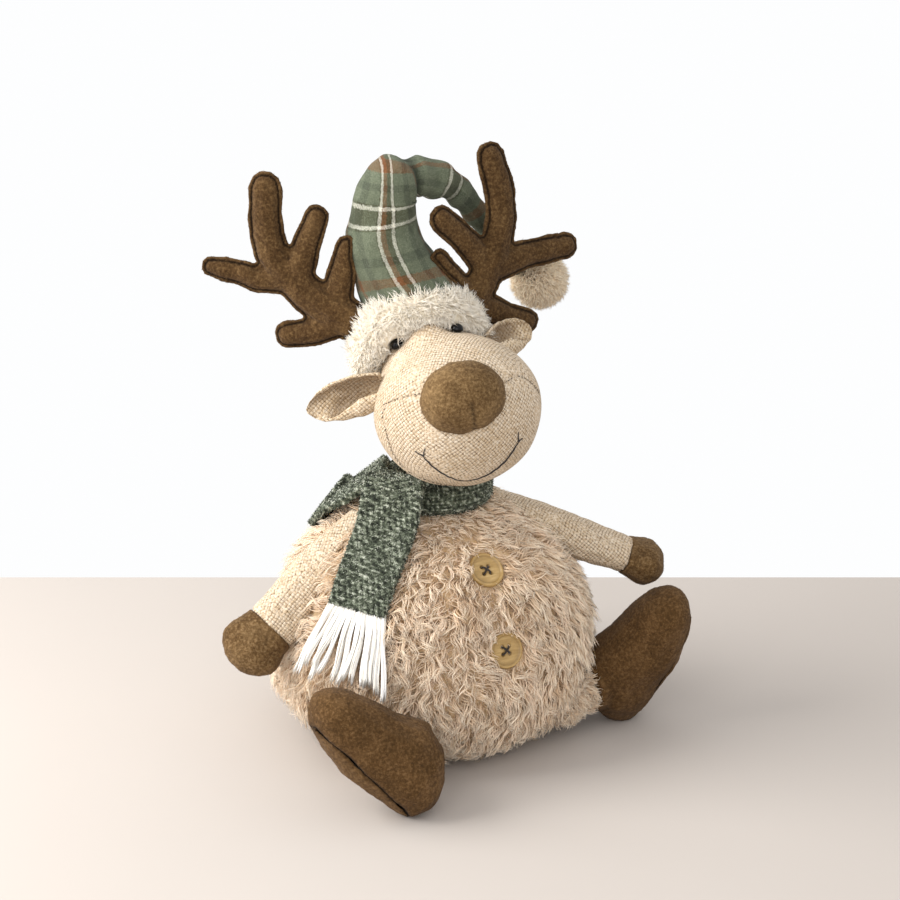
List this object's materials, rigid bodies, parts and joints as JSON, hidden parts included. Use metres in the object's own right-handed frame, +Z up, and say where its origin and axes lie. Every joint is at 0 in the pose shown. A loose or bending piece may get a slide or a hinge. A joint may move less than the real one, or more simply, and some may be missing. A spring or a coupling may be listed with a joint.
{
  "type": "plush deer",
  "caption": "Seated plush deer with stuffed felt antlers, a furry body, linen head and arms, felt feet, a tartan bobble hat and a knitted scarf with fringes.",
  "frame": {"origin": "middle of the flat face that the body sits on, on the floor", "axes": "+Z up, the toy faces -Y, its right hand is on -X and its left hand on +X"},
  "size_m": [0.2929, 0.2349, 0.3778],
  "materials": {
    "body_fur": "long clumped pile faux fur",
    "filling": "loose polyester filling",
    "pellets": "bag of plastic pellets",
    "button_wood": "satin turned wood",
    "dark_thread": "matte dark thread",
    "scarf_knit": "mottled chenille knit",
    "fringe_yarn": "loose white yarn",
    "linen": "flecked linen weave",
    "nose_felt": "light brown felt",
    "hat_tartan": "brushed green tartan flannel",
    "cream_fur": "soft cream faux fur",
    "eye_black": "polished black",
    "washer_plastic": "natural white",
    "antler_felt": "mottled brown felt",
    "limb_felt": "mottled brown felt"
  },
  "bodies": {
    "body": {"body_cover": "body_fur", "body_stuffing": "filling", "pellet_bag": "pellets", "button_upper": "button_wood", "button_thread_upper": "dark_thread", "button_lower": "button_wood", "button_thread_lower": "dark_thread", "scarf_neck_band": "scarf_knit", "scarf_end_front": "scarf_knit", "scarf_fringe_front": "fringe_yarn", "scarf_end_back": "scarf_knit", "scarf_fringe_back": "fringe_yarn"},
    "head": {"head_cover": "linen", "head_stuffing": "filling", "nose": "nose_felt", "hat_cone": "hat_tartan", "hat_stuffing": "filling", "hat_cuff": "cream_fur", "eye_left": "eye_black", "eye_washer_left": "washer_plastic", "eye_right": "eye_black", "eye_washer_right": "washer_plastic", "ear_left": "linen", "ear_right": "linen", "antler_left": "antler_felt", "antler_right": "antler_felt"},
    "hat_tail": {"hat_tail": "hat_tartan", "hat_pompom": "cream_fur"},
    "arm_left": {"arm_left": "linen", "hand_left": "limb_felt"},
    "arm_right": {"arm_right": "linen", "hand_right": "limb_felt"},
    "leg_left": {"leg_left": "linen", "foot_left": "limb_felt", "sole_left": "limb_felt"},
    "leg_right": {"leg_right": "linen", "foot_right": "limb_felt", "sole_right": "limb_felt"}
  },
  "joints": [
    {"name": "head_turn", "type": "hinge", "parent": "body", "child": "head", "pos_m": [0, -0.004, 0.16], "axis": [0, 0, 1], "range_deg": [0, 45]},
    {"name": "hat_tail_swing", "type": "hinge", "parent": "head", "child": "hat_tail", "pos_m": [-0.01716, 0.02273, 0.34942], "axis": [-0.1504, 0.0431, 0.9877], "range_deg": [0, 45]},
    {"name": "arm_right_raise", "type": "hinge", "parent": "body", "child": "arm_right", "pos_m": [-0.043, 0, 0.143], "axis": [0, 1, 0], "range_deg": [0, 40]},
    {"name": "arm_left_raise", "type": "hinge", "parent": "body", "child": "arm_left", "pos_m": [0.043, 0, 0.143], "axis": [-0.3914, -0.9202, 0], "range_deg": [0, 45]},
    {"name": "leg_right_swing", "type": "hinge", "parent": "body", "child": "leg_right", "pos_m": [-0.06112, -0.06329, 0.028], "axis": [0, 0, 1], "range_deg": [-30, 0]},
    {"name": "leg_left_swing", "type": "hinge", "parent": "body", "child": "leg_left", "pos_m": [0.06112, -0.06329, 0.028], "axis": [0, 0, 1], "range_deg": [-45, 0]}
  ]
}
